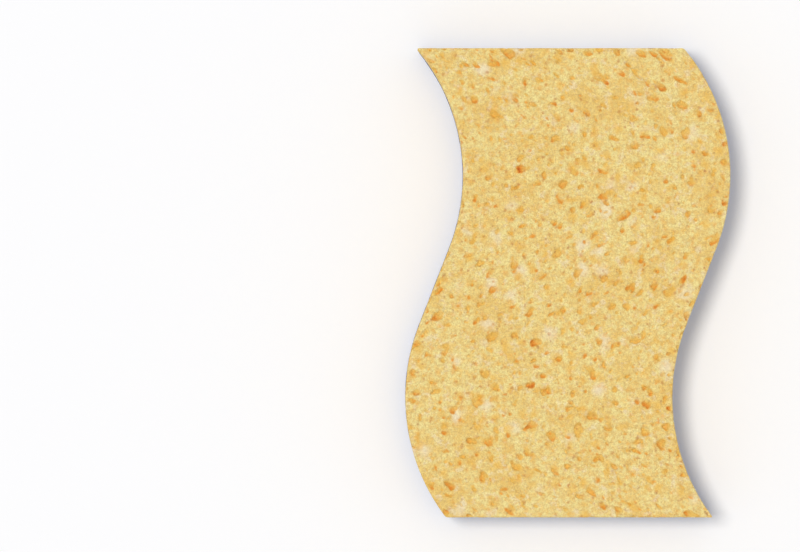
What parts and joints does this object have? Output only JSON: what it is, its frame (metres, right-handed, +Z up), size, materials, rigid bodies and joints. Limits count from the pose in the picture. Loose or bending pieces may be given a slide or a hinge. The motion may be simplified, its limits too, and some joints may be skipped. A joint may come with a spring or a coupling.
{
  "type": "dish sponge",
  "caption": "Hand-sized waved block of open-celled cellulose sponge bonded to a fibre scouring pad, with straight ends and parallel S-shaped sides.",
  "frame": {"origin": "centre of the underside of the box round the part, on the surface that it lies on", "axes": "+Z up from the scouring pad to the sponge's cut face, +Y along the sponge, from one straight end to the other, +X across it"},
  "size_m": [0.0866, 0.125, 0.0273],
  "materials": {
    "cellulose": "open-celled, matt",
    "scouring_fibre": "needled fibre, matt"
  },
  "bodies": {
    "root": {"sponge_body": "cellulose", "scouring_pad": "scouring_fibre"}
  },
  "joints": []
}
